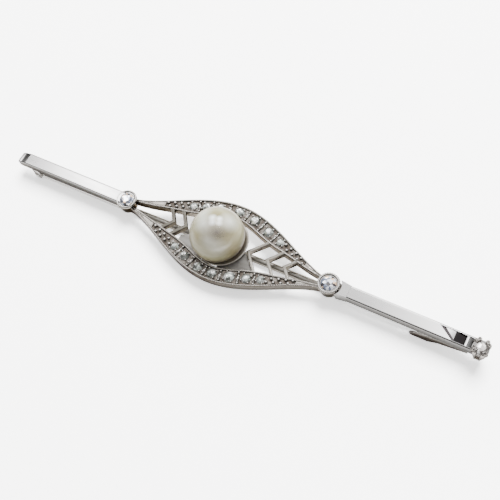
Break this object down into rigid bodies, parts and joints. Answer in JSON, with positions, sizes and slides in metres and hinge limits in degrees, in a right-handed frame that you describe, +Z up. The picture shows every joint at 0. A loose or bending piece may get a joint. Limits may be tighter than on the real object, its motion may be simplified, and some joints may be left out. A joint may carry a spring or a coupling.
{
  "type": "bar brooch",
  "caption": "Bar brooch in polished white metal: a large pearl in a pierced, stone-set panel, diamonds in collets, a claw-set end stone, and a hinged pin with a catch underneath.",
  "frame": {"origin": "centre of the bounding box at the table that the brooch lies on", "axes": "+X along the bar towards the claw-set end stone, +Y across the bar away from the viewer, +Z up out of the brooch's face"},
  "size_m": [0.0638, 0.0104, 0.0071],
  "materials": {
    "white_metal": "polished",
    "pin_metal": "polished",
    "pearl": "lustrous",
    "diamond": "polished",
    "rose_stone": "polished"
  },
  "bodies": {
    "brooch": {"frame": "white_metal", "pearl": "pearl", "left_diamond": "diamond", "right_diamond": "diamond", "end_diamond": "diamond", "hinge_rivet": "pin_metal", "far_stone_1": "rose_stone", "far_stone_2": "rose_stone", "far_stone_3": "rose_stone", "far_stone_4": "rose_stone", "far_stone_5": "rose_stone", "far_stone_6": "rose_stone", "far_stone_7": "rose_stone", "near_stone_1": "rose_stone", "near_stone_2": "rose_stone", "near_stone_3": "rose_stone", "near_stone_4": "rose_stone", "near_stone_5": "rose_stone", "near_stone_6": "rose_stone", "near_stone_7": "rose_stone"},
    "pin": {"pin_stem": "pin_metal"}
  },
  "joints": [
    {"name": "pin_hinge", "type": "hinge", "parent": "brooch", "child": "pin", "pos_m": [-0.02939, -0.0003, 0.00056], "axis": [0, 1, 0], "range_deg": [0, 75]}
  ]
}
